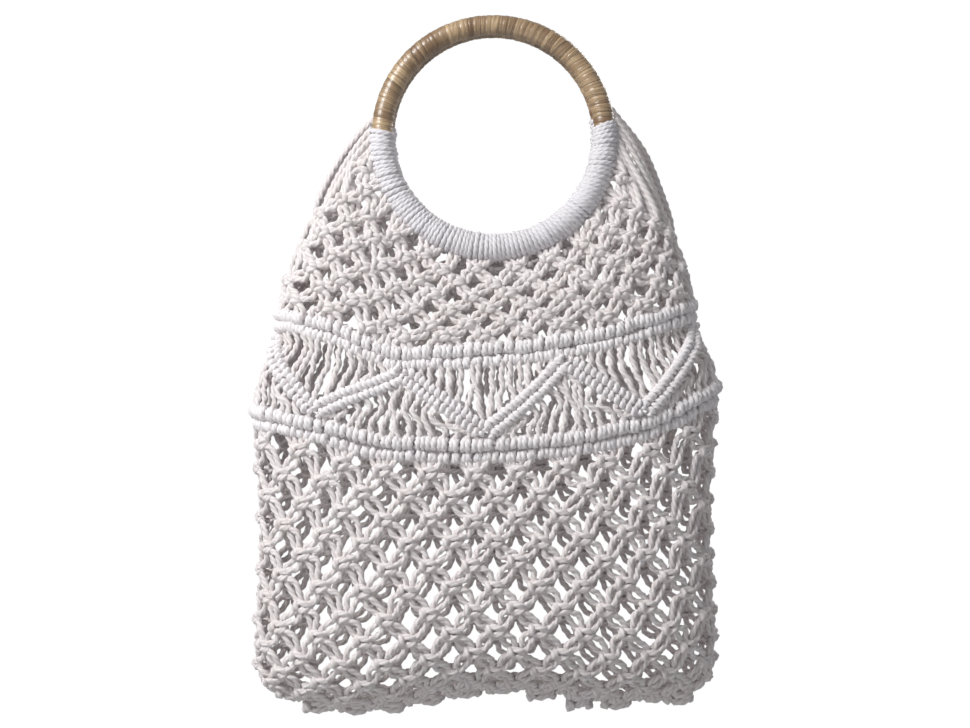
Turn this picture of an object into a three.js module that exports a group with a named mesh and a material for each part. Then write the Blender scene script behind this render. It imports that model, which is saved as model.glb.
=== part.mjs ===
// A knotted cotton string bag, filled out, that hangs by two cane-wound ring handles.
// Millimetres, +Z up, the front faces -Y. The origin is where the hand grips: at the top of the
// ring openings, midway between the two rings.
import * as THREE from "three";

// Ring handles
const RING_MEAN_RADIUS = 74; // centre of the hoop to the middle of its section
const CANE_RADIUS = 7.1; // section of the hoop where the cane strip shows
const CORE_RADIUS = 5.6; // section of the hoop under the cotton wrap
const WRAP_RADIUS = 9.4; // section over the cotton wrap
// Ends of each wrap, left and right, in degrees above the ring's middle
const WRAP_ENDS_DEG = { front: [3.4, 8], back: [9.5, 14.5] };
const RING_TILT_DEG = 4.6; // each ring leans out at its foot
const GAP = 0.3; // between solids that touch in the real bag

// Bag
const HALF_WIDTH = 151; // of the cup, to the middle of the net
const HALF_DEPTH = 52;
const PLAN_POWER = 2.5; // 2 is an ellipse, more is boxier
const BODY_SHIFT = -5.5; // the bag hangs a little to the left of the rings
const UPPER_RIB_DROP = 209.5; // grip to the middle of the first rib, at the bag's centre
const ZIGZAG_DROP = 61.9; // first to third rib, with the zigzag band between
const CUP_DROP = 173.6; // third rib to the bottom seam, mean
const NET_THICKNESS = 6.0; // two cords crossing in a knot
const UPPER_RIB_RADIUS = 3.7; // a row of hitches round its carrier cord
const LOWER_RIB_RADIUS = 4.1;
const RIDGE_RISE = 2.5; // the zigzag stands out from the panel by this
const EDGE_BULGE = { front: 6, back: 11 }; // how far the open side edges bow out
const FACE_BULGE = 3; // how far the upper nets bow out in the middle
const SIDE_INSET = 4.2; // each upper net stops short of the bag's side by this

// Net
const CUP_COLUMNS = 12; // knots round the cup in one row of the coarse net
const CUP_ROWS = 6;
const PANEL_COLUMNS = 6;
const PANEL_ROWS = 4;
const MESH_OPEN = 0.66; // share of a mesh cell that is open
const STRAND_OPEN = 0.6; // share of a zigzag cell that is open
const SEAM_TURN_SHARE = 0.3; // depth share below which the net turns no further in plan
const EDGE_STEPS = 4; // steps along the edge of one net column
const RIB_FACES = 6;
const RING_FACES = 8;
const CANE_STEPS = 16;

const RAD = Math.PI / 180;

// How the ribs and the seam sag. Columns: side position (-1 left, 1 right), rise of the upper ribs,
// of the lower ribs and of the seam above their drops, as shares of the half width.
const SAG = [
  [-1.0, 0.155, 0.14, 0.02],
  [-0.73, 0.1, 0.09, -0.04],
  [-0.45, -0.012, 0.018, -0.035],
  [-0.2, -0.008, 0.004, 0.015],
  [0.0, 0.0, 0.0, 0.035],
  [0.28, 0.025, 0.02, 0.03],
  [0.54, 0.065, 0.06, -0.012],
  [0.78, 0.125, 0.125, -0.006],
  [1.0, 0.195, 0.25, 0.025],
];

// Plan of the bag from the top of the zigzag to the lower ribs. Columns: share of the way down,
// half width and half depth as shares of the cup's.
const WAIST = [
  [0.0, 0.915, 0.81],
  [0.12, 0.9, 0.825],
  [0.35, 0.95, 0.87],
  [0.7, 0.995, 0.92],
  [1.0, 1.02, 0.94],
];

// Turning points of the zigzag, at its top and its bottom in turn, as shares of the way round.
const ZIGZAG_TURNS = [0, 0.091, 0.164, 0.25, 0.335, 0.396, 0.5, 0.583, 0.667, 0.75, 0.833, 0.917, 1];

// Cup from under the lower ribs to the seam. Columns: share of the way along the net, share of the
// drop, half width and half depth as shares of the cup's, and how far the net has turned under
// (0 upright, 1 flat).
const CUP = [
  [0.0, 0.0, 1.005, 0.9, 0.0],
  [0.1, 0.12, 0.995, 0.945, 0.0],
  [0.25, 0.3, 0.982, 0.985, 0.0],
  [0.45, 0.54, 0.984, 1.0, 0.03],
  [0.62, 0.735, 0.997, 0.935, 0.18],
  [0.75, 0.852, 1.0, 0.765, 0.45],
  [0.85, 0.922, 0.985, 0.54, 0.58],
  [0.93, 0.968, 0.95, 0.295, 0.7],
  [1.0, 1.0, 0.87, 0.0, 1.0],
];

// Reads column `column` of a table at `at`, along a smooth curve through its rows.
function read(table, at, column) {
  const last = table.length - 1;
  const x = Math.min(Math.max(at, table[0][0]), table[last][0]);
  let k = 0;
  while (k < last - 1 && x > table[k + 1][0]) k += 1;
  const slope = (j) => {
    const a = table[Math.max(j - 1, 0)];
    const b = table[Math.min(j + 1, last)];
    return (b[column] - a[column]) / (b[0] - a[0]);
  };
  const span = table[k + 1][0] - table[k][0];
  const t = (x - table[k][0]) / span;
  const [p, q] = [table[k][column], table[k + 1][column]];
  const [m, n] = [slope(k) * span, slope(k + 1) * span];
  return (
    p * (2 * t ** 3 - 3 * t * t + 1) +
    m * (t ** 3 - 2 * t * t + t) +
    q * (3 * t * t - 2 * t ** 3) +
    n * (t ** 3 - t * t)
  );
}

// Plan curve of the bag: a rounded box, walked at an even pace. Share 0 is the left end,
// 0.25 the middle of the front, 0.5 the right end and 0.75 the middle of the back.
const bent = (value) => Math.sign(value) * Math.abs(value) ** (2 / PLAN_POWER);
const PLAN_WALK = (() => {
  const steps = 4000;
  const walk = [0];
  const spot = (k) => {
    const angle = (k / steps) * 2 * Math.PI;
    return [HALF_WIDTH * bent(Math.cos(angle)), HALF_DEPTH * bent(Math.sin(angle))];
  };
  for (let k = 1; k <= steps; k += 1) {
    const [a, b] = [spot(k - 1), spot(k)];
    walk.push(walk[k - 1] + Math.hypot(b[0] - a[0], b[1] - a[1]));
  }
  return walk;
})();
const PLAN_LENGTH = PLAN_WALK[PLAN_WALK.length - 1];

function planAngle(share) {
  const turn = (((share % 1) + 1) % 1) * PLAN_LENGTH;
  let low = 0;
  let high = PLAN_WALK.length - 1;
  while (high - low > 1) {
    const middle = (low + high) >> 1;
    if (PLAN_WALK[middle] <= turn) low = middle;
    else high = middle;
  }
  const part = (turn - PLAN_WALK[low]) / (PLAN_WALK[high] - PLAN_WALK[low]);
  return ((low + part) / (PLAN_WALK.length - 1)) * 2 * Math.PI;
}

const sideOf = (share) => -bent(Math.cos(planAngle(share)));
const frontOf = (share) => -bent(Math.sin(planAngle(share)));

function planSpot(share, widthShare, depthShare) {
  const x = BODY_SHIFT + HALF_WIDTH * widthShare * sideOf(share);
  return [x, HALF_DEPTH * depthShare * frontOf(share)];
}

// Outward direction of the plan curve.
function planOut(share, widthShare, depthShare) {
  const [a, b] = [HALF_WIDTH * widthShare, HALF_DEPTH * depthShare];
  const power = PLAN_POWER - 1;
  const x = Math.sign(sideOf(share)) * Math.abs(sideOf(share)) ** power / a;
  const y = Math.sign(frontOf(share)) * Math.abs(frontOf(share)) ** power / b;
  return new THREE.Vector3(x, y, 0).normalize();
}

// Heights, all from the same side position, so that each row follows the one above it.
const upperRib = (share) => -UPPER_RIB_DROP + HALF_WIDTH * read(SAG, sideOf(share), 1);
const LOWER_RIB_DROP = UPPER_RIB_DROP + ZIGZAG_DROP;
const SEAM_DROP = LOWER_RIB_DROP + CUP_DROP;
const lowerRib = (share) => -LOWER_RIB_DROP + HALF_WIDTH * read(SAG, sideOf(share), 2);
const seamHeight = (share) => -SEAM_DROP + HALF_WIDTH * read(SAG, sideOf(share), 3);
const UPPER_PITCH = 2 * UPPER_RIB_RADIUS + GAP;
const LOWER_PITCH = 2 * LOWER_RIB_RADIUS + GAP;
const UPPER_EDGE = UPPER_RIB_RADIUS + GAP;
const LOWER_EDGE = LOWER_RIB_RADIUS + GAP;

// Turns outer and inner skins into one closed body. Each cell is an outline in (share across,
// share down), with or without an opening of as many corners.
function wallBody(cells, keyOf, place) {
  const numbers = new Map();
  const skins = [[], []];
  const cornerAt = ([u, v]) => {
    const key = keyOf(u, v);
    if (!numbers.has(key)) {
      numbers.set(key, skins[0].length);
      place(u, v).forEach((point, side) => skins[side].push(point));
    }
    return numbers.get(key);
  };
  const faces = [];
  const addFace = (spots) => {
    const [a, b, c] = spots;
    const turn = (b[0] - a[0]) * (c[1] - a[1]) - (b[1] - a[1]) * (c[0] - a[0]);
    const face = spots.map(cornerAt);
    faces.push(turn > 0 ? face : face.reverse());
  };
  for (const { outline, opening } of cells) {
    if (opening) {
      outline.forEach((spot, k) => {
        const next = (k + 1) % outline.length;
        addFace([spot, outline[next], opening[next]]);
        addFace([spot, opening[next], opening[k]]);
      });
    } else {
      const flat = outline.map(([u, v]) => new THREE.Vector2(u, v));
      THREE.ShapeUtils.triangulateShape(flat, []).forEach((face) => addFace(face.map((k) => outline[k])));
    }
  }
  const count = skins[0].length;
  const edges = new Set(faces.flatMap(([a, b, c]) => [`${a} ${b}`, `${b} ${c}`, `${c} ${a}`]));
  const index = [];
  for (const [a, b, c] of faces) index.push(a, b, c, c + count, b + count, a + count);
  for (const edge of edges) {
    const [a, b] = edge.split(" ").map(Number);
    if (!edges.has(`${b} ${a}`)) index.push(b, a, a + count, b, a + count, b + count);
  }
  return closedBody([...skins[0], ...skins[1]], index);
}

// A geometry with its faces turned outward.
function closedBody(points, index) {
  let volume = 0;
  for (let k = 0; k < index.length; k += 3) {
    const [a, b, c] = [points[index[k]], points[index[k + 1]], points[index[k + 2]]];
    volume += a.dot(new THREE.Vector3().crossVectors(b, c));
  }
  const order = volume > 0 ? index : [...index].reverse();
  const numbers = points.flatMap((point) => [point.x, point.y, point.z]);
  const geometry = new THREE.BufferGeometry();
  geometry.setAttribute("position", new THREE.Float32BufferAttribute(numbers, 3));
  geometry.setIndex(order);
  geometry.computeVertexNormals();
  return geometry;
}

// Joins rows of points that run round a section; `loop` joins the last row to the first.
function sweptFaces(rows, faces, loop, first = 0) {
  const index = [];
  const spans = loop ? rows : rows - 1;
  for (let row = 0; row < spans; row += 1) {
    const here = first + row * faces;
    const next = first + ((row + 1) % rows) * faces;
    for (let k = 0; k < faces; k += 1) {
      const [a, b] = [here + k, here + ((k + 1) % faces)];
      const [c, d] = [next + k, next + ((k + 1) % faces)];
      index.push(a, b, d, a, d, c);
    }
  }
  return index;
}

// Ring handles. `side` is -1 at the front and 1 at the back.
const LEAN = Math.sin(RING_TILT_DEG * RAD);
const STAND = Math.cos(RING_TILT_DEG * RAD);
const RING_OFFSET = CANE_RADIUS + GAP + RING_MEAN_RADIUS * LEAN;
const RING_HEIGHT = -(RING_MEAN_RADIUS - CANE_RADIUS) * STAND;

// A spot beside the ring's plane: `radius` from its centre, `off` out of the plane, outward.
function ringSpot(side, angle, radius, off) {
  const up = radius * Math.sin(angle);
  return new THREE.Vector3(
    radius * Math.cos(angle),
    side * (RING_OFFSET - up * LEAN + off * STAND),
    RING_HEIGHT + up * STAND + off * LEAN,
  );
}

const WRAP_STEPS = PANEL_COLUMNS * EDGE_STEPS;
const placeName = (side) => (side < 0 ? "front" : "back");

// Angles on the ring where its wrap starts, at the left, and ends, at the right.
function wrapEnds(side) {
  const [left, right] = WRAP_ENDS_DEG[placeName(side)];
  return [(180 - left) * RAD, (360 + right) * RAD];
}

function wrapAngle(side, share) {
  const [start, end] = wrapEnds(side);
  return start + (end - start) * share;
}

function ringSection(side, angle, radius) {
  return Array.from({ length: RING_FACES }, (_, k) => {
    const turn = (k / RING_FACES) * 2 * Math.PI;
    return ringSpot(side, angle, RING_MEAN_RADIUS + radius * Math.cos(turn), radius * Math.sin(turn));
  });
}

function ringBody(side) {
  const rows = [];
  for (let k = 0; k <= WRAP_STEPS; k += 1) {
    rows.push(ringSection(side, wrapAngle(side, k / WRAP_STEPS), CORE_RADIUS));
  }
  const [start, end] = wrapEnds(side);
  const bare = 2 * Math.PI - (end - start);
  for (let k = 0; k <= CANE_STEPS; k += 1) {
    rows.push(ringSection(side, end + (bare * k) / CANE_STEPS, CANE_RADIUS));
  }
  return closedBody(rows.flat(), sweptFaces(rows.length, RING_FACES, true));
}

function wrapBody(side) {
  const trim = GAP / (RING_MEAN_RADIUS - WRAP_RADIUS);
  const [start, end] = wrapEnds(side);
  const angleAt = (k) => Math.min(Math.max(wrapAngle(side, k / WRAP_STEPS), start + trim), end - trim);
  const steps = Array.from({ length: WRAP_STEPS + 1 }, (_, k) => angleAt(k));
  const outside = steps.flatMap((angle) => ringSection(side, angle, WRAP_RADIUS));
  const inside = steps.flatMap((angle) => ringSection(side, angle, CORE_RADIUS + GAP));
  const rows = steps.length;
  const index = sweptFaces(rows, RING_FACES, false);
  sweptFaces(rows, RING_FACES, false, outside.length).forEach((_, k, all) => {
    index.push(all[all.length - 1 - k]);
  });
  for (const row of [0, rows - 1]) {
    for (let k = 0; k < RING_FACES; k += 1) {
      const [a, b] = [row * RING_FACES + k, row * RING_FACES + ((k + 1) % RING_FACES)];
      const [c, d] = [a + outside.length, b + outside.length];
      index.push(...(row === 0 ? [a, c, d, a, d, b] : [a, b, d, a, d, c]));
    }
  }
  return closedBody([...outside, ...inside], index);
}

// Ribs: closed loops of a six-sided section, kept upright so that stacked ribs stay apart.
const LOOP_STEPS = CUP_COLUMNS * EDGE_STEPS;

function ribBody(heightAt, radius, widthShare, depthShare) {
  const points = [];
  for (let step = 0; step < LOOP_STEPS; step += 1) {
    const share = step / LOOP_STEPS;
    const [x, y] = planSpot(share, widthShare, depthShare);
    const out = planOut(share, widthShare, depthShare);
    for (let k = 0; k < RIB_FACES; k += 1) {
      const turn = (k / RIB_FACES) * 2 * Math.PI;
      const middle = new THREE.Vector3(x, y, heightAt(share) + radius * Math.cos(turn));
      points.push(middle.addScaledVector(out, radius * Math.sin(turn)));
    }
  }
  return closedBody(points, sweptFaces(LOOP_STEPS, RIB_FACES, true));
}

// Corners from a to b, without b.
function between(a, b, steps) {
  const at = (k) => a.map((value, axis) => value + ((b[axis] - value) * k) / steps);
  return Array.from({ length: steps }, (_, k) => at(k));
}

// Mesh cells of a net of square knots. Knots sit where column and row are both odd or both even;
// between four of them is one opening. Half cells along an edge are closed.
function netCells(columns, rows, closedLoop) {
  const cells = [];
  const spot = (i, j) => [i / (2 * columns), j / rows];
  const chain = (corners, stepsAt) =>
    corners.flatMap((corner, k) => between(corner, corners[(k + 1) % corners.length], stepsAt(k)));
  for (let j = 0; j <= rows; j += 1) {
    for (let i = 0; i < 2 * columns + (closedLoop ? 0 : 1); i += 1) {
      if ((i + j) % 2 === 0) continue;
      const [left, below, right, above] = [spot(i - 1, j), spot(i, j + 1), spot(i + 1, j), spot(i, j - 1)];
      if (j === 0) {
        cells.push({ outline: chain([left, below, right], (k) => (k === 2 ? EDGE_STEPS : 2)) });
      } else if (j === rows) {
        cells.push({ outline: chain([left, right, above], (k) => (k === 0 ? EDGE_STEPS : 2)) });
      } else if (!closedLoop && i === 0) {
        cells.push({ outline: chain([above, below, right], () => 2) });
      } else if (!closedLoop && i === 2 * columns) {
        cells.push({ outline: chain([above, left, below], () => 2) });
      } else {
        const outline = chain([left, below, right, above], () => 2);
        const [u, v] = spot(i, j);
        const opening = outline.map(([a, b]) => [u + (a - u) * MESH_OPEN, v + (b - v) * MESH_OPEN]);
        cells.push({ outline, opening });
      }
    }
  }
  return cells;
}

const plainKey = (u, v) => `${Math.round(u * 5000)} ${Math.round(v * 5000)}`;
const loopKey = (u, v) => plainKey((((u % 1) + 1) % 1 > 0.9999 ? 0 : ((u % 1) + 1) % 1), v);
const seamKey = (u, v) => {
  const turn = ((u % 1) + 1) % 1;
  return v > 0.9999 ? plainKey(Math.min(turn, 1 - turn), v) : loopKey(u, v);
};

// Cup of the bag: front and back join along the seam.
function cupPlace(u, v) {
  const [width, depth, turn] = [read(CUP, v, 2), Math.max(read(CUP, v, 3), 0), read(CUP, v, 4)];
  const [x, y] = planSpot(u, width, v > 0.9999 ? 0 : depth);
  const top = lowerRib(u) - LOWER_PITCH - LOWER_EDGE;
  const foot = seamHeight(u) + NET_THICKNESS / 2;
  const z = top + (foot - top) * read(CUP, v, 1);
  const out = planOut(u, width, Math.max(depth, SEAM_TURN_SHARE));
  const lean = (turn * Math.PI) / 2;
  const reach = new THREE.Vector3(out.x * Math.cos(lean), out.y * Math.cos(lean), -Math.sin(lean));
  if (v > 0.9999) reach.set(0, 0, -1);
  const middle = new THREE.Vector3(x, y, z);
  return [1, -1].map((side) => middle.clone().addScaledVector(reach, (side * NET_THICKNESS) / 2));
}

// Zigzag panel between the second and the third rib. Each half of a V is two three-cornered cells
// with an opening; the ridge runs along the side that they share. The zigzag turns at steps of the
// ribs, so that its edges keep to the line of the ribs.
const TURN_SPOTS = ZIGZAG_TURNS.map((turn) => Math.round(turn * LOOP_STEPS) / LOOP_STEPS);

function zigzagCells() {
  const cells = [];
  const level = (a, b) => Math.round(Math.abs(b[0] - a[0]) * LOOP_STEPS);
  const side = (a, b) => between(a, b, a[1] === b[1] ? level(a, b) : 2);
  for (let half = 0; half < TURN_SPOTS.length - 1; half += 1) {
    const [left, right] = TURN_SPOTS.slice(half, half + 2);
    const down = half % 2 === 0;
    const ridge = down ? [[left, 0], [right, 1]] : [[right, 0], [left, 1]];
    const above = down ? [right, 0] : [left, 0];
    const below = down ? [left, 1] : [right, 1];
    for (const far of [above, below]) {
      const corners = [ridge[0], ridge[1], far];
      const outline = corners.flatMap((corner, k) => side(corner, corners[(k + 1) % 3]));
      const middle = [0, 1].map((axis) => corners.reduce((sum, corner) => sum + corner[axis], 0) / 3);
      const shrunk = (value, axis) => middle[axis] + (value - middle[axis]) * STRAND_OPEN;
      cells.push({ outline, opening: outline.map((spot) => spot.map(shrunk)) });
    }
  }
  return cells;
}

// Way down from the top (0) to the bottom (1) of the zigzag's line at a share of the way round.
function zigzagHeight(u) {
  const share = ((u % 1) + 1) % 1;
  const half = TURN_SPOTS.findLastIndex((turn) => turn <= share);
  const [left, right] = TURN_SPOTS.slice(half, half + 2);
  const along = (share - left) / (right - left);
  return half % 2 === 0 ? along : 1 - along;
}

function zigzagPlace(u, v) {
  const [width, depth] = [read(WAIST, v, 1), read(WAIST, v, 2)];
  const [x, y] = planSpot(u, width, depth);
  const top = upperRib(u) - UPPER_PITCH - UPPER_EDGE;
  const foot = lowerRib(u) + LOWER_EDGE;
  const out = planOut(u, width, depth);
  const onRidge = Math.abs(zigzagHeight(u) - v) < 0.01;
  const middle = new THREE.Vector3(x, y, top + (foot - top) * v);
  const reaches = [NET_THICKNESS / 2 + (onRidge ? RIDGE_RISE : 0), -NET_THICKNESS / 2];
  return reaches.map((reach) => middle.clone().addScaledVector(out, reach));
}

// Upper net panels, from the wrapped arc of a ring to the first rib. The sides bow out most near
// the ring, where the cords leave it.
function panelMiddle(side, u, v) {
  const top = ringSpot(side, wrapAngle(side, u), RING_MEAN_RADIUS + WRAP_RADIUS + GAP, 0);
  const inset = (2 * SIDE_INSET) / PLAN_LENGTH;
  const share = Math.min(Math.max(u, inset), 1 - inset) / 2;
  const [x, y] = planSpot(share, read(WAIST, 0, 1), read(WAIST, 0, 2));
  const foot = new THREE.Vector3(x, -side * y, upperRib(share) + UPPER_EDGE);
  const sideBow = EDGE_BULGE[placeName(side)] * Math.sin(Math.PI * v ** 0.6) * (2 * u - 1);
  const faceBow = FACE_BULGE * Math.sin(Math.PI * v) * Math.sin(Math.PI * u);
  return top.lerp(foot, v).add(new THREE.Vector3(sideBow, side * faceBow, 0));
}

function panelPlace(side) {
  return (u, v) => {
    const step = 0.002;
    const [a, b] = [Math.min(Math.max(u, step), 1 - step), Math.min(Math.max(v, step), 1 - step)];
    const across = panelMiddle(side, a + step, b).sub(panelMiddle(side, a - step, b));
    const down = panelMiddle(side, a, b + step).sub(panelMiddle(side, a, b - step));
    const out = new THREE.Vector3().crossVectors(across, down).multiplyScalar(-side);
    if (v < 0.001) out.copy(ringSpot(side, 0, 0, 1).sub(ringSpot(side, 0, 0, 0)));
    if (v > 0.999) out.z = 0;
    out.normalize();
    const middle = panelMiddle(side, u, v);
    return [1, -1].map((way) => middle.clone().addScaledVector(out, (way * NET_THICKNESS) / 2));
  };
}

function finish(name, color, roughness) {
  return new THREE.MeshStandardMaterial({ name, color, roughness, metalness: 0 });
}

const cane = finish("rattan", 0xb08d62, 0.45);
const cotton = finish("cotton_cord", 0xdcd6d2, 0.9);
const wrapCotton = finish("cotton_wrap", 0xe2e1e6, 0.85);

const bag = new THREE.Group();
bag.name = "string_shopping_bag";

function add(name, geometry, material) {
  const mesh = new THREE.Mesh(geometry, material.clone());
  mesh.name = name;
  bag.add(mesh);
}

add("ring_front", ringBody(-1), cane);
add("ring_back", ringBody(1), cane);
add("wrap_front", wrapBody(-1), wrapCotton);
add("wrap_back", wrapBody(1), wrapCotton);
const panelCells = netCells(PANEL_COLUMNS, PANEL_ROWS, false);
add("upper_net_front", wallBody(panelCells, plainKey, panelPlace(-1)), cotton);
add("upper_net_back", wallBody(panelCells, plainKey, panelPlace(1)), cotton);

const waistTop = WAIST[0].slice(1);
const waistFoot = WAIST[WAIST.length - 1].slice(1);
const cupTop = CUP[0].slice(2, 4);
const secondRib = (share) => upperRib(share) - UPPER_PITCH;
const fourthRib = (share) => lowerRib(share) - LOWER_PITCH;
add("upper_rib_a", ribBody(upperRib, UPPER_RIB_RADIUS, ...waistTop), cotton);
add("upper_rib_b", ribBody(secondRib, UPPER_RIB_RADIUS, ...waistTop), cotton);
add("zigzag_panel", wallBody(zigzagCells(), loopKey, zigzagPlace), cotton);
add("lower_rib_a", ribBody(lowerRib, LOWER_RIB_RADIUS, ...waistFoot), cotton);
add("lower_rib_b", ribBody(fourthRib, LOWER_RIB_RADIUS, ...cupTop), cotton);
add("lower_net", wallBody(netCells(CUP_COLUMNS, CUP_ROWS, true), seamKey, cupPlace), cotton);

export default bag;
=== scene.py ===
import math

import bpy
import numpy as np
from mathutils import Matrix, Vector


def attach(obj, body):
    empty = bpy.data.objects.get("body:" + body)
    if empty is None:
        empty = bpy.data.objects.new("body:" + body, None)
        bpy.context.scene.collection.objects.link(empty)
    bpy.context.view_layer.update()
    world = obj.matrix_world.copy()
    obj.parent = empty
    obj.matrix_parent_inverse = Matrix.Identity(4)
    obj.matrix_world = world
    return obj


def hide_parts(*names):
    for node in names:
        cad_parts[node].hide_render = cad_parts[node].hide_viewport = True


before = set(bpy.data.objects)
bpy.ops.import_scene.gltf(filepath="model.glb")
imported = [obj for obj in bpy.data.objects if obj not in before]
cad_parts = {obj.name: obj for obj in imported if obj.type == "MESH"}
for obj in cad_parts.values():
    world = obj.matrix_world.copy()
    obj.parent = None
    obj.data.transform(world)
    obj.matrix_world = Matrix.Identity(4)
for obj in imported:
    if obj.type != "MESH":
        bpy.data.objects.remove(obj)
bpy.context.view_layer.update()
random = np.random.default_rng(41)
scene = bpy.context.scene

# Camera. It looks level at the middle of the hanging bag, straight from the front, and stands a
# little to the left of the rings.
camera_data = bpy.data.cameras.new("camera")
camera_data.lens = 88.6
camera_data.clip_end = 60
camera = bpy.data.objects.new("camera", camera_data)
camera.location = (-0.0057, -1.6, -0.219)
camera.rotation_euler = (math.pi / 2, 0, 0)
scene.collection.objects.link(camera)
scene.camera = camera

# Light. A white studio: even light from all sides, one large soft lamp high on the left in front
# of the bag, a weak one on the right, soft light from below, and one lamp behind for the back net.
scene.view_settings.view_transform = "Standard"
world = bpy.data.worlds.new("studio")
world.use_nodes = True
world.node_tree.nodes["Background"].inputs[0].default_value = (0.96, 0.97, 1.0, 1)
world.node_tree.nodes["Background"].inputs[1].default_value = 0.3
scene.world = world


def lamp(name, place, size, power):
    """A round soft lamp that points at the middle of the bag."""
    data = bpy.data.lights.new(name, "AREA")
    data.shape = "DISK"
    data.size = size
    data.energy = power
    obj = bpy.data.objects.new(name, data)
    obj.visible_camera = False
    obj.location = place
    aim = Vector((0, 0, -0.25)) - Vector(place)
    obj.rotation_euler = aim.to_track_quat("-Z", "Y").to_euler()
    scene.collection.objects.link(obj)


lamp("key", (-0.92, -0.78, 0.64), 0.68, 20.5)
lamp("fill", (1.3, -1.2, 0.2), 1.0, 0.6)
lamp("low", (-0.5, -0.8, -1.05), 1.0, 2.2)
lamp("back", (0.9, 1.15, 0.6), 0.9, 9)


# Backdrop. A pale floor, two metres below the bag, that turns up into a white wall all round. It
# glows evenly, as studio paper does that has its own lamps, and throws no light on the bag.
def colour(code):
    """A linear colour from an sRGB hex code."""
    parts = [int(code[k : k + 2], 16) / 255 for k in (1, 3, 5)]
    return tuple(c / 12.92 if c <= 0.04045 else ((c + 0.055) / 1.055) ** 2.4 for c in parts) + (1,)


def node(tree, kind, inputs=None, **settings):
    """Adds a shader node; inputs are values or sockets to link from."""
    made = tree.nodes.new(kind)
    for key, value in settings.items():
        setattr(made, key, value)
    for key, value in (inputs or {}).items():
        if isinstance(value, bpy.types.NodeSocket):
            tree.links.new(value, made.inputs[key])
        else:
            made.inputs[key].default_value = value
    return made


def new_material(name):
    """An empty material and its node tree."""
    material = bpy.data.materials.new(name)
    material.use_nodes = True
    tree = material.node_tree
    tree.nodes.clear()
    return material, tree


def build_mesh(name, vertices, loops, starts, uvs, material):
    """A smooth-shaded mesh from arrays in millimetres."""
    mesh = bpy.data.meshes.new(name)
    mesh.vertices.add(len(vertices))
    mesh.vertices.foreach_set("co", (np.asarray(vertices) / 1000).ravel().astype(np.float32))
    mesh.loops.add(len(loops))
    mesh.loops.foreach_set("vertex_index", np.asarray(loops, np.int32))
    mesh.polygons.add(len(starts))
    mesh.polygons.foreach_set("loop_start", np.asarray(starts, np.int32))
    layer = mesh.uv_layers.new(name="lay")
    layer.data.foreach_set("uv", np.asarray(uvs, np.float32).ravel())
    mesh.polygons.foreach_set("use_smooth", np.ones(len(starts), bool))
    mesh.update(calc_edges=True)
    mesh.materials.append(material)
    obj = bpy.data.objects.new(name, mesh)
    scene.collection.objects.link(obj)
    return obj


# Metres: the floor's height, the radius of the bend, and how far out and how high the wall stands.
FLOOR, COVE, WALL_OUT, WALL_UP = -2.2, 2.0, 8.0, 14.0

# White paper. It glows by itself, so it shows plain white, without a shadow or a gloss.
paper, paper_tree = new_material("white_paper")
glow = node(paper_tree, "ShaderNodeEmission", {"Color": (1, 1, 1, 1), "Strength": 1.02})
node(paper_tree, "ShaderNodeOutputMaterial", {"Surface": glow.outputs[0]})
bend = np.linspace(0, math.pi / 2, 13)
cove = [(WALL_OUT - COVE + COVE * math.sin(t), FLOOR + COVE - COVE * math.cos(t)) for t in bend]
profile = [(0, FLOOR)] + cove + [(WALL_OUT, WALL_UP)]
compass = np.linspace(0, 2 * math.pi, 49)
sweep = np.array([[r * math.cos(a), r * math.sin(a), z] for r, z in profile for a in compass]) * 1000
number = np.arange(len(sweep)).reshape(len(profile), len(compass))
quads = np.stack([number[:-1, :-1], number[:-1, 1:], number[1:, 1:], number[1:, :-1]], -1).reshape(-1)
starts = np.arange(0, len(quads), 4)
backdrop = build_mesh("backdrop", sweep, quads, starts, np.zeros(len(quads) * 2), paper)
backdrop.visible_diffuse = False
backdrop.visible_glossy = False

# Ring handles. Each is a hoop wound with a narrow strip of peeled rattan, turn beside turn. The
# skin side is outward, so it is smooth and glossy, with long fine grain and a dark joint between
# two turns. The hoops touch at the top and lean apart towards the bag.
RING_RADIUS = 74.0  # millimetres from here on; to the middle of the hoop's section
CANE = 7.1  # radius of the section over the strip
STRIP = 3.8  # width of one turn of the strip
TOUCH = 0.3  # from each hoop's top to the plane between them
TILT = math.radians(4.6)  # each hoop leans out at its foot
LEAN, STAND = math.sin(TILT), math.cos(TILT)
RING_OFFSET = CANE + TOUCH + RING_RADIUS * LEAN
RING_HEIGHT = -(RING_RADIUS - CANE) * STAND
# left and right end of each wrap, in degrees above the ring's middle; -1 is the front, 1 the back
WRAP_ENDS = {-1: (3.4, 8.0), 1: (9.5, 14.5)}


def wrap_angle(side, share):
    """The angle at a share of the way along a wrap, from left to right."""
    left, right = WRAP_ENDS[side]
    start, end = math.radians(180 - left), math.radians(360 + right)
    return start + (end - start) * share


def ring_spot(side, angle, radius, off):
    """A spot beside a ring: its angle, the distance from the ring's centre, and off its plane."""
    up = radius * np.sin(angle)
    y = side * (RING_OFFSET - up * LEAN + off * STAND)
    z = RING_HEIGHT + up * STAND + off * LEAN
    return np.stack(np.broadcast_arrays(radius * np.cos(angle), y, z), -1)


def dress(obj, slot, *nodes):
    """Ties a piece to the part and hides the solids that it takes the place of. The slot is not used."""
    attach(obj, "root")
    if nodes:
        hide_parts(*nodes)


# Peeled rattan, the hard outer skin of the cane. It gives a soft broad gloss, a tone that changes
# from turn to turn, long dark pores, and a dark joint 0.3 mm wide at each edge of a turn. One u
# is the 44.6 mm round the hoop's section, and one v is a turn's 3.8 mm. So the cloudy patches of
# tone are 74 mm long and 29 mm wide, and the pores 20 mm long and 0.5 mm wide. Real pores are
# finer, and wouldn't show.
PATCH_SCALE = (0.6, 0.13, 1)
PORE_SCALE = (2.2, 7, 1)

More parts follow.
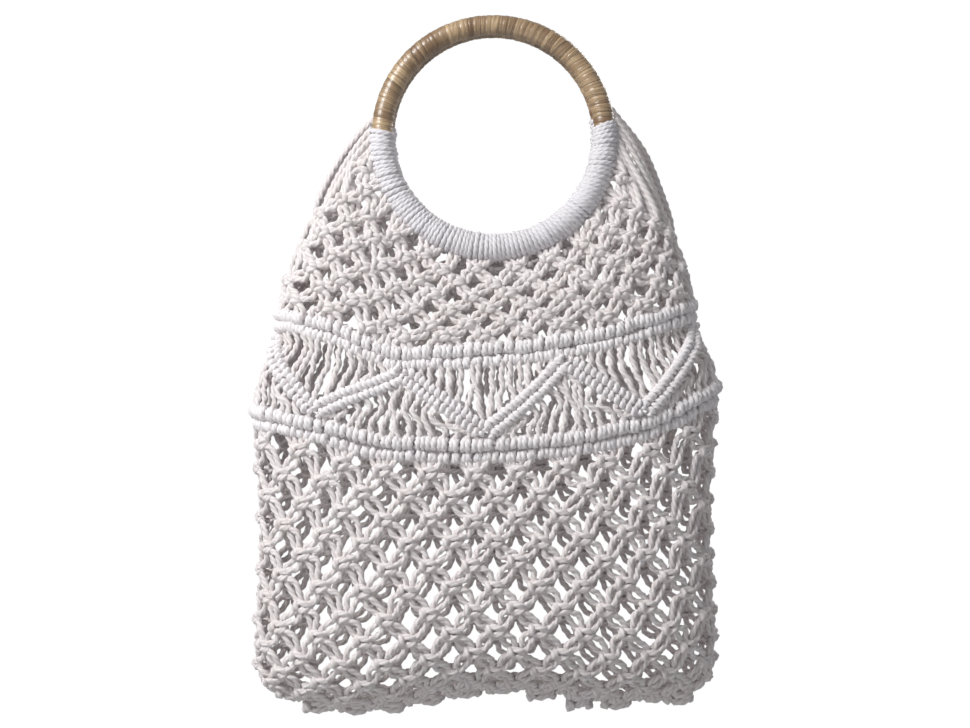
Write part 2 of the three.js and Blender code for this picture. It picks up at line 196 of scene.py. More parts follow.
rattan, rattan_tree = new_material("peeled_rattan")
lay = node(rattan_tree, "ShaderNodeUVMap", uv_map="lay").outputs[0]
lay_parts = node(rattan_tree, "ShaderNodeSeparateXYZ", {0: lay})
turn_number = node(rattan_tree, "ShaderNodeMath", {0: lay_parts.outputs[1]}, operation="FLOOR")
turn_tint = node(rattan_tree, "ShaderNodeTexWhiteNoise", {
    "W": turn_number.outputs[0],
}, noise_dimensions="1D")
long_lay = node(rattan_tree, "ShaderNodeVectorMath", {0: lay, 1: PATCH_SCALE}, operation="MULTIPLY")
patches = node(rattan_tree, "ShaderNodeTexNoise", {
    "Vector": long_lay.outputs[0],
    "Scale": 1.0,
    "Detail": 2.0,
})
tone = node(rattan_tree, "ShaderNodeMix", {0: 0.8, 2: turn_tint.outputs[0], 3: patches.outputs[0]})
skin = node(rattan_tree, "ShaderNodeValToRGB", {0: tone.outputs[0]})
skin.color_ramp.elements[0].position = 0.3
skin.color_ramp.elements[0].color = colour("#785638")
skin.color_ramp.elements[1].position = 0.7
skin.color_ramp.elements[1].color = colour("#E0C298")
grain_lay = node(rattan_tree, "ShaderNodeVectorMath", {0: lay, 1: PORE_SCALE}, operation="MULTIPLY")
grain = node(rattan_tree, "ShaderNodeTexNoise", {
    "Vector": grain_lay.outputs[0],
    "Scale": 1.0,
    "Detail": 3.0,
})
grain_depth = node(rattan_tree, "ShaderNodeMapRange", {
    0: grain.outputs[0],
    1: 0.4,
    2: 0.75,
    3: 0.0,
    4: 0.95,
})
grained = node(rattan_tree, "ShaderNodeMix", {
    0: grain_depth.outputs[0],
    6: skin.outputs[0],
    7: colour("#573F24"),
}, data_type="RGBA")
across = node(rattan_tree, "ShaderNodeMath", {0: lay_parts.outputs[1]}, operation="FRACT")
from_middle = node(rattan_tree, "ShaderNodeMath", {0: across.outputs[0], 1: 0.5}, operation="SUBTRACT")
to_edge = node(rattan_tree, "ShaderNodeMath", {0: from_middle.outputs[0]}, operation="ABSOLUTE")
joint_depth = node(rattan_tree, "ShaderNodeMapRange", {0: turn_tint.outputs[0], 3: 0.45, 4: 1.0})
joint = node(rattan_tree, "ShaderNodeMapRange", {
    0: to_edge.outputs[0],
    1: 0.43,
    2: 0.5,
    3: 0.0,
    4: joint_depth.outputs[0],
})
jointed = node(rattan_tree, "ShaderNodeMix", {
    0: joint.outputs[0],
    6: grained.outputs[2],
    7: colour("#4A3318"),
}, data_type="RGBA")
grain_bump = node(rattan_tree, "ShaderNodeBump", {
    "Height": grain.outputs[0],
    "Strength": 0.25,
    "Distance": 0.0003,
})
rattan_shader = node(rattan_tree, "ShaderNodeBsdfPrincipled", {
    "Base Color": jointed.outputs[2],
    "Roughness": 0.4,
    "Specular IOR Level": 0.7,
    "Coat Weight": 0.9,
    "Coat Roughness": 0.38,
    "Normal": grain_bump.outputs[0],
})
node(rattan_tree, "ShaderNodeOutputMaterial", {"Surface": rattan_shader.outputs[0]})

# The strip runs on under the wrap by this angle. Steps along one turn, and round the section.
UNDER_WRAP = 0.09
STRIP_STEPS, SECTION_STEPS = 8, 26
for side, where in ((-1, "front"), (1, "back")):
    arc_start = wrap_angle(side, 1) - UNDER_WRAP
    arc_end = wrap_angle(side, 0) + 2 * math.pi + UNDER_WRAP
    turns = (arc_end - arc_start) * RING_RADIUS / STRIP
    rows, faces = int(turns * STRIP_STEPS), SECTION_STEPS
    steps = np.linspace(0, 1, rows + 1)
    share, around = np.meshgrid(steps, np.arange(faces + 1) / faces, indexing="ij")
    angle = arc_start + (arc_end - arc_start) * share
    uneven = 0.3 * np.interp(share, np.linspace(0, 1, 60), random.normal(0, 1, 60))
    strip_at = share * turns + uneven + 0.2 * np.cos(2 * math.pi * around)
    # Each turn is rounded down at its edges, and lies a little higher or lower than the next.
    crown = np.abs(np.mod(strip_at, 1) - 0.5) * 2
    over = np.sin(np.floor(strip_at) * 2.4)
    reach = CANE - 0.45 + 0.4 * np.abs(np.cos(angle)) + 0.1 * over - 0.3 * crown**4
    radial, off = reach * np.cos(2 * math.pi * around), reach * np.sin(2 * math.pi * around)
    shell = ring_spot(side, angle, RING_RADIUS + radial, off)
    number = np.arange((rows + 1) * (faces + 1)).reshape(rows + 1, faces + 1)
    quads = np.stack([number[:-1, :-1], number[:-1, 1:], number[1:, 1:], number[1:, :-1]], -1).reshape(-1)
    uvs = np.stack([around, strip_at], -1).reshape(-1, 2)[quads]
    starts = np.arange(0, len(quads), 4)
    handle = build_mesh(f"cane_ring_{where}", shell.reshape(-1, 3), quads, starts, uvs, rattan)
    dress(handle, "rattan", f"ring_{where}")


# Ring wraps. White cotton cord is wound tight over the upper cords, round the lower arc of each
# hoop, turn beside turn, so the bag can't slide on its handles. Matt, with a soft three-ply lay.
def unit(vectors):
    """The same directions with length one."""
    return vectors / np.maximum(np.linalg.norm(vectors, axis=-1, keepdims=True), 1e-9)


# A cord's radius, the length of one full twist, and how far the plies and the grooves between them
# stand from the middle, as shares of the radius.
CORD, TWIST, LOBES = 2.15, 17.0, (1.08, 0.84)


def cords(name, paths, material, radius=CORD, pitch=TWIST, lobes=LOBES):
    """Three-ply twisted cords along paths, as one mesh. A path's fourth column is its fatness. The
    section has six corners, on a ply and in a groove alternately. The lay runs once round the cord for
    one in u, and 10 mm along it for one in v."""
    vertices, loops, uvs, caps = [], [], [], []
    base = 0
    for path in paths:
        middle, count = path[:, :3], len(path)
        fat = path[:, 3] if path.shape[1] > 3 else np.ones(count)
        tangent = unit(np.gradient(middle, axis=0))
        normal = np.zeros((count, 3))
        normal[0] = unit(np.cross(tangent[0], (0.3, 0.2, 0.9)))
        for k in range(1, count):
            flat = normal[k - 1] - tangent[k] * (normal[k - 1] @ tangent[k])
            normal[k] = flat / math.sqrt(flat @ flat)
        beside = np.cross(tangent, normal)
        length = np.concatenate([[0], np.cumsum(np.linalg.norm(np.diff(middle, axis=0), axis=1))])
        shift = random.uniform(0, 2 * math.pi)
        angle = np.arange(6) * math.pi / 3 + shift - (2 * math.pi * length / pitch)[:, None]
        reach = radius * np.where(np.arange(6) % 2, lobes[1], lobes[0]) * fat[:, None]
        sideways = np.cos(angle)[..., None] * normal[:, None] + np.sin(angle)[..., None] * beside[:, None]
        vertices.append((middle[:, None] + reach[..., None] * sideways).reshape(-1, 3))
        row, k = np.meshgrid(np.arange(count - 1), np.arange(6), indexing="ij")
        a, b = base + row * 6 + k, base + row * 6 + (k + 1) % 6
        loops.append(np.stack([a, b, b + 6, a + 6], -1).reshape(-1))
        u0, u1 = k / 6, (k + 1) / 6
        v0, v1 = length[row] / 10 + shift * 7, length[row + 1] / 10 + shift * 7
        uvs.append(np.stack([u0, v0, u1, v0, u1, v1, u0, v1], -1).reshape(-1))
        caps.append(base + np.arange(5, -1, -1))
        caps.append(base + (count - 1) * 6 + np.arange(6))
        base += count * 6
    sides, ends = np.concatenate(loops), np.concatenate(caps)
    starts = np.concatenate([np.arange(0, len(sides), 4), len(sides) + np.arange(0, len(ends), 6)])
    uv = np.concatenate([np.concatenate(uvs), np.zeros(len(ends) * 2)])
    return build_mesh(name, np.concatenate(vertices), np.concatenate([sides, ends]), starts, uv, material)


# One u is the 13.5 mm round a cord of the nets, and one v is 10 mm along it. So the fibres are
# drawn 0.5 mm wide and 3.3 mm long, as real ones, a fiftieth of a millimetre wide, wouldn't show.
# The cotton's warmer patches are 17 mm across, which is 60 to a metre.
FIBRE_SCALE = (26, 3, 1)
WARM_SCALE = 60.0


def cotton(name, light, warm, groove, groove_shade_and_bump):
    """Matt twisted cotton. Painted shade darkens the grooves between the plies, fine fibres run with the
    lay, and a weak sheen gives the fuzz of loose ends."""
    material, tree = new_material(name)
    lay = node(tree, "ShaderNodeUVMap", uv_map="lay").outputs[0]
    parts = node(tree, "ShaderNodeSeparateXYZ", {0: lay})
    wave = node(tree, "ShaderNodeMath", {0: parts.outputs[0], 1: 3 * 2 * math.pi}, operation="MULTIPLY")
    ridge = node(tree, "ShaderNodeMath", {0: wave.outputs[0]}, operation="COSINE")
    place = node(tree, "ShaderNodeTexCoord").outputs["Object"]
    patch = node(tree, "ShaderNodeTexNoise", {"Vector": place, "Scale": WARM_SCALE, "Detail": 3.0})
    tint = node(tree, "ShaderNodeMix", {
        0: patch.outputs[0],
        6: colour(light),
        7: colour(warm),
    }, data_type="RGBA")
    # Painted shade: the grooves between the plies are mixed towards the darker groove colour.
    depth = node(tree, "ShaderNodeMapRange", {
        0: ridge.outputs[0],
        1: -1.0,
        2: 0.2,
        3: groove_shade_and_bump,
        4: 0.0,
    })
    shade = node(tree, "ShaderNodeMix", {
        0: depth.outputs[0],
        6: tint.outputs[2],
        7: colour(groove),
    }, data_type="RGBA")
    stretched = node(tree, "ShaderNodeVectorMath", {0: lay, 1: FIBRE_SCALE}, operation="MULTIPLY")
    fibres = node(tree, "ShaderNodeTexNoise", {"Vector": stretched.outputs[0], "Scale": 1.0, "Detail": 2.0})
    fine = node(tree, "ShaderNodeMath", {0: fibres.outputs[0], 1: 0.5}, operation="MULTIPLY")
    height = node(tree, "ShaderNodeMath", {0: fine.outputs[0], 1: ridge.outputs[0]}, operation="ADD")
    bump = node(tree, "ShaderNodeBump", {
        "Height": height.outputs[0],
        "Strength": 0.15 + 0.6 * groove_shade_and_bump,
        "Distance": 0.0005,
    })
    shader = node(tree, "ShaderNodeBsdfPrincipled", {
        "Base Color": shade.outputs[2],
        "Roughness": 0.9,
        "Specular IOR Level": 0.2,
        "Sheen Weight": 0.2,
        "Sheen Roughness": 0.5,
        "Normal": bump.outputs[0],
    })
    node(tree, "ShaderNodeOutputMaterial", {"Surface": shader.outputs[0]})
    return material


# Wound cotton. Bleached cord pulled tight. It looks cooler than the nets' cord, and smoother,
# because its grooves close, so the painted shade in them is weaker.
wrap_cotton = cotton("wound_cotton", "#EAE8EC", "#DFDCDF", "#ACA5A7", 0.24)


def wrap_radius(share):
    """The wrap is thinner at its ends than at the foot of the ring."""
    return 8.3 + 1.1 * np.sin(math.pi * np.clip(share, 0, 1)) ** 0.7


# The bag's cords lie under the wrap on the outer side, so it sits lower than the hoop at its foot.
WRAP_LIFT = 1.5
WRAP_TURNS = 84
WRAP_CORD = 1.95
for side, where in ((-1, "front"), (1, "back")):
    phase = np.linspace(0, WRAP_TURNS * 2 * math.pi, WRAP_TURNS * 30)
    share = phase / phase[-1]
    uneven = np.interp(share, np.linspace(0, 1, WRAP_TURNS * 2), random.normal(0, 0.3, WRAP_TURNS * 2))
    crowd = 0.011 * np.interp(share, np.linspace(0, 1, 50), random.normal(0, 1, 50))
    thick = wrap_radius(share) - 1.9 + uneven
    # The turns slant: on both sides of the ring their inner ends hang lower.
    slant = 0.01 + 0.024 * (2 * share - 1)
    angle = wrap_angle(side, 0.01 + 0.98 * share) + slant * np.cos(phase) + crowd
    middle = RING_RADIUS + WRAP_LIFT * np.sin(math.pi * share)
    coil = ring_spot(side, angle, middle + thick * np.cos(phase), -side * thick * np.sin(phase))
    piece = f"cotton_wrap_{where}"
    wound = cords(piece, [coil], wrap_cotton, radius=WRAP_CORD, pitch=12.0, lobes=(1.06, 0.9))
    dress(wound, "cotton_wrap", f"wrap_{where}")

# Upper nets. From each ring down to the first rib, rows of square knots in undyed three-ply
# cotton cord, four cords to a knot. The outermost cords run free along the open sides.
HALF_WIDTH = 151.0  # of the bag at the cup, to the middle of the net
HALF_DEPTH = 52.0
PLAN_POWER = 2.5  # 2 is an ellipse, more is boxier
BODY_SHIFT = -5.5  # the bag hangs a little to the left of its rings
UPPER_RIB_DROP = 209.5  # from the grip to the first rib, at the bag's middle
UPPER_PITCH, UPPER_EDGE = 7.7, 4.0  # from rib to rib, and from a rib to its net
# side position (-1 left, 1 right), rise of the upper ribs, of the lower ribs and of the seam, as
# shares of the half width
SAG = np.array([
    [-1.0, 0.155, 0.14, 0.02],
    [-0.73, 0.1, 0.09, -0.04],
    [-0.45, -0.012, 0.018, -0.035],
    [-0.2, -0.008, 0.004, 0.015],
    [0.0, 0.0, 0.0, 0.035],
    [0.28, 0.025, 0.02, 0.03],
    [0.54, 0.065, 0.06, -0.012],
    [0.78, 0.125, 0.125, -0.006],
    [1.0, 0.195, 0.25, 0.025],
])
# way down from the upper to the lower ribs, then half width and half depth as shares of the cup's
WAIST = np.array([
    [0.0, 0.915, 0.81],
    [0.12, 0.9, 0.825],
    [0.35, 0.95, 0.87],
    [0.7, 0.995, 0.92],
    [1.0, 1.02, 0.94],
])


def read(table, at, column):
    """A smooth curve through one column of a table."""
    knots, values = table[:, 0], table[:, column]
    x = np.clip(np.asarray(at, float), knots[0], knots[-1])
    k = np.clip(np.searchsorted(knots, x, side="right") - 1, 0, len(knots) - 2)
    low = np.maximum(np.arange(len(knots)) - 1, 0)
    high = np.minimum(np.arange(len(knots)) + 1, len(knots) - 1)
    slope = (values[high] - values[low]) / (knots[high] - knots[low])
    span = knots[k + 1] - knots[k]
    t = (x - knots[k]) / span
    return (
        values[k] * (2 * t**3 - 3 * t * t + 1)
        + slope[k] * span * (t**3 - 2 * t * t + t)
        + values[k + 1] * (3 * t * t - 2 * t**3)
        + slope[k + 1] * span * (t**3 - t * t)
    )


def bent(value):
    """Turns a circle's sine or cosine into the boxier plan curve's."""
    return np.sign(value) * np.abs(value) ** (2 / PLAN_POWER)


# Distance walked along the plan curve, from 0 to 1, for each angle.
turn = np.linspace(0, 2 * math.pi, 4001)
stride = np.hypot(np.diff(HALF_WIDTH * bent(np.cos(turn))), np.diff(HALF_DEPTH * bent(np.sin(turn))))
walk = np.concatenate([[0], np.cumsum(stride)])
walk /= walk[-1]


def side_of(share):
    """Side position on the plan curve. Share 0 is the left end, 0.25 the middle of the front."""
    return -bent(np.cos(np.interp(np.mod(share, 1), walk, turn)))


def front_of(share):
    """Front position on the plan curve: -1 at the front, 1 at the back."""
    return -bent(np.sin(np.interp(np.mod(share, 1), walk, turn)))


def spot(share, width, depth, height):
    """Points on the bag's plan curve at a height."""
    x = BODY_SHIFT + HALF_WIDTH * width * side_of(share)
    y = HALF_DEPTH * depth * front_of(share)
    return np.stack(np.broadcast_arrays(x, y, height), -1)


def upper_rib(share):
    """Height of the first rib."""
    return -UPPER_RIB_DROP + HALF_WIDTH * read(SAG, side_of(share), 1)


def panel(side, bulge):
    """The upper net's middle, from a ring's wrapped arc (v 0) to the first rib (v 1)."""

    def place(u, v):
        u, v = np.broadcast_arrays(np.asarray(u, float), np.asarray(v, float))
        top = ring_spot(side, wrap_angle(side, u), RING_RADIUS + wrap_radius(u) - 0.5, 0)
        share = np.clip(u, 0.0125, 0.9875) / 2
        foot = spot(share, WAIST[0, 1], WAIST[0, 2], upper_rib(share) + UPPER_EDGE)
        foot[..., 1] *= -side
        side_bow = bulge * np.sin(math.pi * np.clip(v, 0, 1) ** 0.6) * (2 * u - 1)
        face_bow = side * 3 * np.sin(math.pi * np.clip(v, 0, 1)) * np.sin(math.pi * u)
        return top + (foot - top) * v[..., None] + np.stack([side_bow, face_bow, 0 * u], -1)

    return place


def axes_at(place, u, v):
    """Across, up and out directions of a net at a spot, and its width for one unit of u."""
    h = 0.004
    across = (place(u + h, v) - place(u - h, v)) / (2 * h)
    down = place(u, v + h) - place(u, v - h)
    up = unit(-down)
    right = unit(np.cross(up, unit(np.cross(down, across))))
    return right, up, np.cross(right, up), np.abs(np.sum(across * right, -1))


CURVE_STEP = 1.6


def curve_through(points, step=CURVE_STEP):
    """Points at an even pace along a smooth curve through the given points."""
    p = np.asarray(points, float)
    gap = np.sqrt(np.maximum(np.linalg.norm(np.diff(p[:, :3], axis=0), axis=1), 1e-6))[:, None]
    rate = np.diff(p, axis=0) / gap
    inner = (rate[:-1] * gap[1:] + rate[1:] * gap[:-1]) / (gap[1:] + gap[:-1])
    m = np.vstack([rate[:1], inner, rate[-1:]])
    t = np.linspace(0, 1, 9)[:-1][None, :, None]
    a, b = p[:-1, None], p[1:, None]
    c, d = (m[:-1] * gap)[:, None], (m[1:] * gap)[:, None]
    fine = (
        a * (2 * t**3 - 3 * t * t + 1)
        + c * (t**3 - 2 * t * t + t)
        + b * (3 * t * t - 2 * t**3)
        + d * (t**3 - t * t)
    )
    fine = np.vstack([fine.reshape(-1, p.shape[1]), p[-1:]])
    length = np.concatenate([[0], np.cumsum(np.linalg.norm(np.diff(fine[:, :3], axis=0), axis=1))])
    at = np.linspace(0, length[-1], max(int(round(length[-1] / step)), 2) + 1)
    return np.stack([np.interp(at, length, fine[:, k]) for k in range(p.shape[1])], -1)


# One square knot. Columns: across, up and out of the net in millimetres, and fatness. The left
# cord lies over the two fillers twice; the right cord goes behind them and comes out over it as a
# plump bump. Each cord ends half way along its arm to the next row.
KNOT_ACROSS, KNOT_DOWN = 14.0, 14.6
LEFT_CORD = np.array([
    [-5.0, 2.7, -0.5, 0.93],
    [-1.9, 2.5, 2.1, 1.0],
    [1.4, 2.1, 2.9, 1.06],
    [3.9, 1.3, 1.5, 1.0],
    [4.6, 0.0, 0.2, 0.95],
    [3.9, -1.3, 1.5, 1.0],
    [1.4, -2.1, 2.9, 1.06],
    [-1.9, -2.5, 2.1, 1.0],
    [-5.0, -2.7, -0.3, 0.94],
    [-9.6, -5.3, 0.3, 0.97],
])
RIGHT_CORD = np.array([
    [5.0, 2.7, 1.4, 1.0],
    [1.9, 2.7, -2.3, 0.85],
    [-2.4, 2.5, -2.6, 0.85],
    [-4.9, 2.2, 0.9, 1.08],
    [-4.6, 0.0, 3.6, 1.3],
    [-4.9, -2.2, 0.9, 1.08],
    [-2.4, -2.5, -2.6, 0.85],
    [1.9, -2.7, -2.3, 0.85],
    [5.0, -2.7, 1.2, 1.0],
    [9.6, -5.3, 0.3, 0.97],
])
LEFT_FILLER = np.array([
    [-2.3, 5.2, 0.3, 0.98],
    [-1.8, 2.8, 0.0, 0.85],
    [-1.8, -2.8, 0.0, 0.85],
    [-2.5, -5.4, 0.2, 0.98],
    [-4.5, -9.3, -0.3, 0.97],
])
RIGHT_FILLER = LEFT_FILLER * (-1, 1, 1, 1)
KNOT = (LEFT_CORD, LEFT_FILLER, RIGHT_FILLER, RIGHT_CORD)
MOST_ROWS = 20


def net_paths(place, columns, row_at, closed, top, foot, least, uneven):
    """Cord paths of a net of square knots. Odd rows take two cords from each of the knots above,
    so a filler becomes an outer cord and back again. row_at gives the place and the height of a
    row at a side position, or None where there is no knot. Where the columns are closer than the
    least share of a knot's width, the cords run side by side, unknotted."""
    jitter = random.normal(0, uneven, (MOST_ROWS, 2 * columns + 2, 5))
    paths = []
    for c in range(4 * columns):
        start = (c + 0.5) / (4 * columns)
        points = [np.append(place(start, top), 1)]
        for j in range(MOST_ROWS):
            if j % 2 == 0:
                number, role = 2 * (c // 4), c % 4
            else:
                number, role = 2 * ((c + 2) // 4) - 1, (c + 2) % 4
            at_edge = not closed and number in (-1, 2 * columns - 1)
            u = start if at_edge else (number + 1) / (2 * columns)
            row = row_at(j, u)
            if row is None:
                continue
            v, tall = row
            if at_edge:
                points.append(np.append(place(start, v), 1))
                continue
            right, up, out, wide = axes_at(place, u, v)
            wide = wide / (2 * columns)
            if wide < least * KNOT_ACROSS:
                continue
            wobble = jitter[j, number % (2 * columns)]
            sx = np.clip(wide / KNOT_ACROSS, 0.5, 1.08) * (1 + 0.04 * wobble[0])
            sz = np.clip(tall / KNOT_DOWN, 0.6, 1.15) * (1 + 0.04 * wobble[1])
            tilt = 0.1 * wobble[2]
            local = KNOT[role] * (sx, sz, 1, 1)
            a = local[:, 0] * math.cos(tilt) - local[:, 1] * math.sin(tilt) + wobble[3] * 0.7
            b = local[:, 0] * math.sin(tilt) + local[:, 1] * math.cos(tilt) + wobble[4] * 0.6
            knot = place(u, v) + a[:, None] * right + b[:, None] * up + local[:, 2:3] * out
            points.extend(np.hstack([knot, local[:, 3:]]))
        points.append(np.append(place(start, foot), 1))
        paths.append(curve_through(np.array(points)))
    return paths


# Twisted cotton. Soft undyed cord, warm white and matt, with painted shade in its clear ply grooves.
cord_cotton = cotton("twisted_cotton", "#F0ECED", "#E6DEDB", "#AA9F9B", 0.35)

PANEL_COLUMNS = 12
ROW_MIDDLE, ROW_MORE = 9.2, 4.6  # height of a row, and what it has more at the sides
for side, where, bulge in ((-1, "front", 6.0), (1, "back", 11.0)):
    place = panel(side, bulge)

    def panel_row(j, u):
        """Rows are counted up from the rib, and the ring cuts them off."""
        length = np.linalg.norm(place(u, 1.0) - place(u, 0.0)) * 1.01
        tall = ROW_MIDDLE + ROW_MORE * abs(2 * u - 1) ** 1.4
        shift = 0.6 if side < 0 else 0.1
        v = 1 - (MOST_ROWS - 1 - j + shift) * tall / length
        return (v, tall) if v * length > 4 else None

    paths = net_paths(place, PANEL_COLUMNS, panel_row, False, -0.02, 1.04, 0.57, 1.7)
    net = cords(f"upper_net_cords_{where}", paths, cord_cotton, radius=2.3)
    dress(net, "cotton_cord", f"upper_net_{where}")

# Ribs. All the cords are hitched, one after the other, round a carrier cord that circles the bag.
# Two such rows close the upper nets and two more close the zigzag band. A hitch is two turns.
ZIGZAG_DROP = 61.9
LOWER_PITCH, LOWER_EDGE = 8.5, 4.4
RIB_WRAPS = 192
RIB_CORD = 2.25


def lower_rib(share):
    """Height of the third rib."""
    return -UPPER_RIB_DROP - ZIGZAG_DROP + HALF_WIDTH * read(SAG, side_of(share), 2)


# Hitched cotton. The nets' cord, pulled tight over a carrier. It looks whiter; its grooves close.
# Its grooves take less painted shade than the nets' cord.
rib_cotton = cotton("hitched_cotton", "#F8F5F7", "#EEE9E9", "#B5ACAA", 0.25)

# name, height, radius of the turns, and half width and half depth as shares of the cup's
for name, height, thick, width, depth in (
    ("upper_rib_a", lambda s: upper_rib(s) + 0.4, 2.6, *WAIST[0, 1:]),
    ("upper_rib_b", lambda s: upper_rib(s) - UPPER_PITCH, 1.9, *WAIST[0, 1:]),
    ("lower_rib_a", lambda s: lower_rib(s) + 0.2, 2.7, *WAIST[-1, 1:]),
    ("lower_rib_b", lambda s: lower_rib(s) - LOWER_PITCH, 2.2, 1.005, 0.9),
):
    phase = np.linspace(0, RIB_WRAPS * 2 * math.pi, RIB_WRAPS * 10 + 1)
    even = np.linspace(0, 1, RIB_WRAPS * 2)
    way = phase / phase[-1]
    share = way + np.interp(way, even[::2], random.normal(0, 0.0011, RIB_WRAPS))
    # The two turns of a hitch lie close together, and each of them slants.
    share = share + (0.8 * np.cos(phase / 2) - 0.6 * np.sin(phase)) / phase[-1]
    reach = thick + np.interp(way, even, random.normal(0, 0.4, RIB_WRAPS * 2))
    sway = 0.6 * np.interp(way, np.linspace(0, 1, 60), random.normal(0, 1, 60))
    ahead, behind = (spot(share + step, width, depth, 0) for step in (0.001, -0.001))
    out = unit(np.cross((0.0, 0.0, -1.0), ahead - behind))
    coil = spot(share, width, depth, height(share) + sway) + out * (reach * np.cos(phase))[:, None]
    coil[:, 2] += reach * np.sin(phase) * 1.08
    hitches = cords(f"hitches_{name}", [coil], rib_cotton, radius=RIB_CORD, pitch=11.0, lobes=(1.09, 0.86))
    dress(hitches, "cotton_cord", name)

# Zigzag band. Slanting rows of hitches, two side by side, make six V shapes round the bag. The
# other cords hang bare behind them, slack and uneven, from the upper to the lower ribs.
CREST, VALLEY = 0.03, 0.93  # how far down the band the zigzag turns
RIDGE_OUT, RIDGE_APART = 3.0, 3.1  # how far each row of hitches is off the band and off the middle
BARE_CORDS = 96
# where it turns, at the crest and in the valley alternately, as shares of the way round the bag
ZIGZAG_TURNS = [0, 0.091, 0.164, 0.25, 0.335, 0.396, 0.5, 0.583, 0.667, 0.75, 0.833, 0.917, 1]


def band(u, v):
    """The band between the second and the third rib."""
    top, foot = upper_rib(u) - UPPER_PITCH - UPPER_EDGE, lower_rib(u) + LOWER_EDGE
    return spot(u, read(WAIST, v, 1), read(WAIST, v, 2), top + (foot - top) * v)


ridges = []
for half in range(len(ZIGZAG_TURNS) - 1):
    falling = half % 2 == 0
    u0, u1 = ZIGZAG_TURNS[half : half + 2]
    v0, v1 = (CREST, VALLEY) if falling else (VALLEY, CREST)
    t = np.linspace(0.02, 0.98, 60)
    track = band(u0 + (u1 - u0) * t, v0 + (v1 - v0) * t)
    out = axes_at(band, u0 + (u1 - u0) * t, v0 + (v1 - v0) * t)[2]
    beside = np.cross(unit(np.gradient(track, axis=0)), out)
    length = np.concatenate([[0], np.cumsum(np.linalg.norm(np.diff(track, axis=0), axis=1))])
    for line in (-1, 1):
        wraps = int(length[-1] / (4.2 if falling else 3.5))
        phase = np.linspace(0, wraps * 2 * math.pi, wraps * 9 + 1)
        at = (phase - 0.75 * np.sin(phase)) / phase[-1] * length[-1]
        at += np.interp(phase, np.linspace(0, phase[-1], wraps), random.normal(0, 0.3, wraps))
        rough = 0.24 if falling else 0.18
        spread = random.normal(0, rough, wraps * 2)
        reach = 1.45 + np.interp(phase, np.linspace(0, phase[-1], wraps * 2), spread)
        mid, o, b = (
            np.stack([np.interp(at, length, w[:, k]) for k in range(3)], -1)
            for w in (track + out * RIDGE_OUT + beside * (RIDGE_APART * line), out, beside)
        )
        ridges.append(mid + (o * np.cos(phase)[:, None] + b * np.sin(phase)[:, None]) * reach[:, None])
ridge_obj = cords("zigzag_ridges", ridges, rib_cotton, radius=2.1, pitch=11.0, lobes=(1.09, 0.86))
dress(ridge_obj, "cotton_cord", "zigzag_panel")

strands = []
for c in range(BARE_CORDS):
    u = (c + 0.5) / BARE_CORDS
    half = int(np.searchsorted(ZIGZAG_TURNS, u)) - 1
    along = (u - ZIGZAG_TURNS[half]) / (ZIGZAG_TURNS[half + 1] - ZIGZAG_TURNS[half])
    falling = half % 2 == 0
    # Each cord crosses the ridge here, and hangs straight above it and in a loop below it.
    cross = CREST + (VALLEY - CREST) * (along if falling else 1 - along)
    way = -1 if falling else 1
    drift = random.normal(0, 0.002, 5)
    low = u + way * 0.005 * (1 - cross) + drift[3]
    spots = [(u + drift[0] * 0.3, -0.1), (u + drift[0], cross * 0.33), (u + drift[4], cross * 0.66)]
    spots += [(u + drift[1] * 0.4, cross), (u + way * 0.012 + drift[2], cross + (1 - cross) * 0.35)]
    spots += [(low, cross + (1 - cross) * 0.75), (u + way * 0.002, 1.1)]
    run = curve_through(np.array([band(a, b) for a, b in spots]))
    pace = np.arange(len(run)) * CURVE_STEP
    wave = 2 * math.pi * pace / random.uniform(11, 16) + random.uniform(0, 6)
    run[:, 0] += 0.6 * np.sin(wave)
    run[:, 1] *= 1.03
    swell = 1.04 + 0.07 * np.sin(2 * math.pi * pace / 5.7 + random.uniform(0, 6))
    strands.append(np.hstack([run, swell[:, None]]))
strand_obj = cords("zigzag_strands", strands, cord_cotton, radius=1.98, pitch=16.0, lobes=(1.12, 0.82))
dress(strand_obj, "cotton_cord")

# Lower net. The deep cup of square knots that holds the shopping, twelve rows of twenty-four in the
# same cotton cord. It bellies out, so it is deepest half way down and draws in to the bottom seam.
CUP_DROP = 173.6
CUP_COLUMNS, CUP_ROWS = 24, 12
FIRST_ROW, ROWLESS = 6.5, 18.0  # down to the first row, and the part of the net without rows
# way along the net, then the drop, half width and half depth as shares of the cup's
CUP = np.array([
    [0.0, 0.0, 1.005, 0.9],
    [0.1, 0.12, 0.995, 0.945],
    [0.25, 0.3, 0.982, 0.985],
    [0.45, 0.54, 0.984, 1.0],
    [0.62, 0.735, 0.997, 0.935],
    [0.75, 0.852, 1.0, 0.765],
    [0.85, 0.922, 0.985, 0.54],
    [0.93, 0.968, 0.95, 0.295],
    [1.0, 1.0, 0.87, 0.0],
])


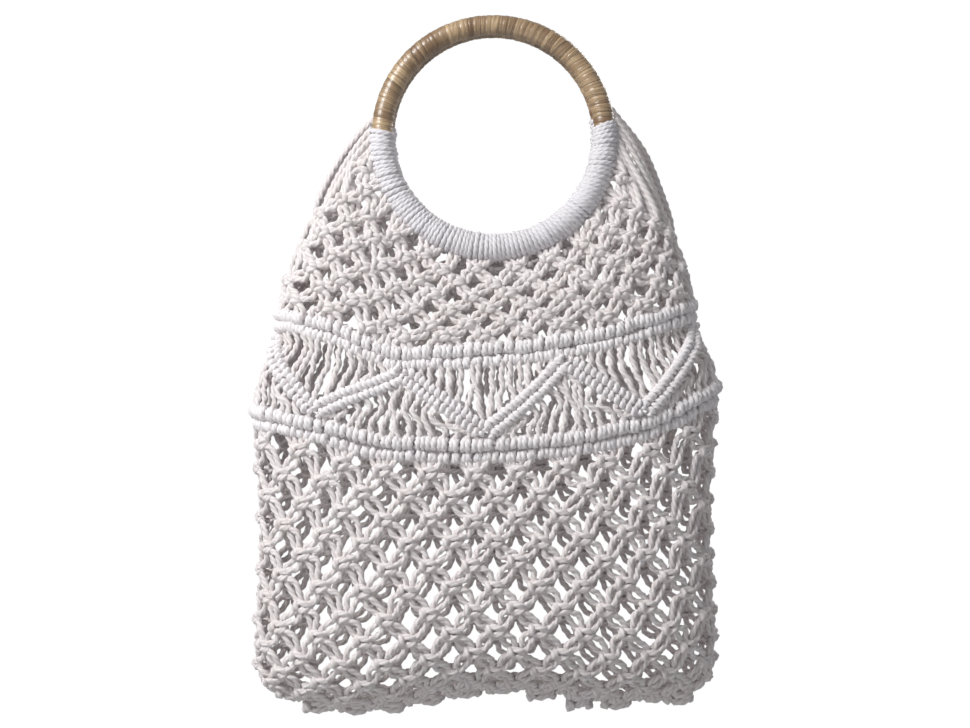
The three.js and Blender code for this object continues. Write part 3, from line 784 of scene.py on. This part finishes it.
def cup(u, v):
    """The net's middle, from under the lower ribs (v 0) to the seam (v 1)."""
    top = lower_rib(u) - LOWER_PITCH - LOWER_EDGE
    foot = 3 - UPPER_RIB_DROP - ZIGZAG_DROP - CUP_DROP + HALF_WIDTH * read(SAG, side_of(u), 3)
    height = top + (foot - top) * (read(CUP, v, 1) + np.minimum(v, 0) * 1.1)
    return spot(u, read(CUP, v, 2), np.maximum(read(CUP, v, 3), 0), height)


way_down = np.linspace(0, 1, 200)
net_length = np.concatenate([[0], np.cumsum(np.linalg.norm(np.diff(cup(0.25, way_down), axis=0), axis=1))])
ROW_DOWN = (net_length[-1] - ROWLESS) / (CUP_ROWS - 1)


def cup_row(j, u):
    """Rows are counted down from the ribs, and they are all alike."""
    if j >= CUP_ROWS:
        return None
    return np.interp(FIRST_ROW + ROW_DOWN * j, net_length, way_down), ROW_DOWN


def turned_cup(u, v):
    """The net sits a quarter of a column round, so that the back's knots show in the front's gaps."""
    return cup(u + 0.25 / CUP_COLUMNS, v)


all_paths = net_paths(turned_cup, CUP_COLUMNS, cup_row, True, -0.03, 0.985, 0.4, 1.0)
half_way = 2 * CUP_COLUMNS
front_net = cords("lower_net_front", all_paths[:half_way], cord_cotton)
back_net = cords("lower_net_back", all_paths[half_way:], cord_cotton)
dress(front_net, "cotton_cord", "lower_net")
dress(back_net, "cotton_cord")

# Seam. The cotton cords of front and back are tied together, column by column, in one row of fat
# knots along the bottom. Their ends are tucked in.
SEAM_SCALE = (1.65, 1.05, 1.25, 1.2)  # against the net's own knots
seam_paths = []
for n in range(CUP_COLUMNS // 2):
    u = (2 * n + 1) / (2 * CUP_COLUMNS)
    lift, lean = random.normal(0, 1.3), random.normal(0, 0.2)
    for facing in (-1, 1):
        middle = cup(u, 1.0) + (0, facing * 3.5, lift)
        right = np.array([-facing * math.cos(lean), 0.0, math.sin(lean)])
        up = unit(np.array([0.0, facing * 0.35, 1.0]))
        out = np.cross(right, up)
        for role in KNOT:
            local = role[:-1] * SEAM_SCALE
            local[[0, -1]] *= (0.6, 0.5, 1, 1)
            local[[0, -1], 2] -= 2.5
            knot = middle + local[:, :1] * right + local[:, 1:2] * up + local[:, 2:3] * out
            seam_paths.append(curve_through(np.hstack([knot, local[:, 3:]])))
seam_obj = cords("seam_knots", seam_paths, cord_cotton)
dress(seam_obj, "cotton_cord")
